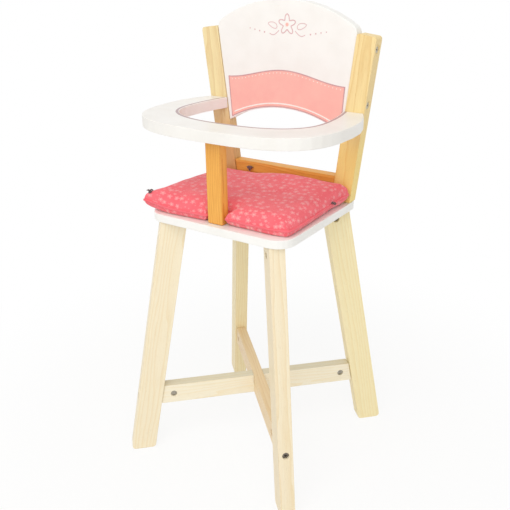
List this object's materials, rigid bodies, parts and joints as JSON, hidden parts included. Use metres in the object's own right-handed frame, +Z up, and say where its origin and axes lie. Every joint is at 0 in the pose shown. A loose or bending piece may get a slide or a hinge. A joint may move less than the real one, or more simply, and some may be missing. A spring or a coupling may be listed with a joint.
{
  "type": "doll high chair",
  "caption": "Wooden doll high chair with splayed legs on a crossed brace, a painted seat with a cushion, splayed back posts with an arched backrest, and a fixed D-shaped play tray.",
  "frame": {"origin": "on the floor under the middle of the four feet", "axes": "+Z up, -Y to the front of the chair, +X to the right of someone who looks at its front"},
  "size_m": [0.2338, 0.2338, 0.51],
  "materials": {
    "pale_wood": "clear lacquer",
    "warm_wood": "clear lacquer",
    "white_paint": "satin white paint",
    "coral_cotton": "woven cotton",
    "dark_steel": "dark plated"
  },
  "bodies": {
    "root": {"back_post_left": "warm_wood", "back_post_right": "warm_wood", "backrest_panel": "white_paint", "brace_front_left_bolt": "dark_steel", "brace_front_left_cross_nut": "dark_steel", "brace_front_left_to_rear_right": "pale_wood", "brace_front_right_bolt": "dark_steel", "brace_front_right_cross_nut": "dark_steel", "brace_front_right_to_rear_left": "pale_wood", "brace_rear_left_bolt": "dark_steel", "brace_rear_left_cross_nut": "dark_steel", "brace_rear_right_bolt": "dark_steel", "brace_rear_right_cross_nut": "dark_steel", "front_support": "warm_wood", "front_support_dowel": "pale_wood", "front_support_screw": "dark_steel", "leg_front_left": "pale_wood", "leg_front_left_bolt": "dark_steel", "leg_front_left_cross_nut": "dark_steel", "leg_front_right": "pale_wood", "leg_front_right_bolt": "dark_steel", "leg_front_right_cross_nut": "dark_steel", "leg_rear_left": "pale_wood", "leg_rear_left_bolt": "dark_steel", "leg_rear_left_cross_nut": "dark_steel", "leg_rear_right": "pale_wood", "leg_rear_right_bolt": "dark_steel", "leg_rear_right_cross_nut": "dark_steel", "panel_screw_lower_left": "dark_steel", "panel_screw_lower_right": "dark_steel", "panel_screw_upper_left": "dark_steel", "panel_screw_upper_right": "dark_steel", "post_left_bolt": "dark_steel", "post_left_cross_nut": "dark_steel", "post_right_bolt": "dark_steel", "post_right_cross_nut": "dark_steel", "rail_dowel_left": "pale_wood", "rail_dowel_right": "pale_wood", "rear_rail": "warm_wood", "seat_board": "white_paint", "seat_cushion": "coral_cotton", "tray": "white_paint", "tray_left_bolt": "dark_steel", "tray_left_cross_nut": "dark_steel", "tray_right_bolt": "dark_steel", "tray_right_cross_nut": "dark_steel"}
  },
  "joints": []
}
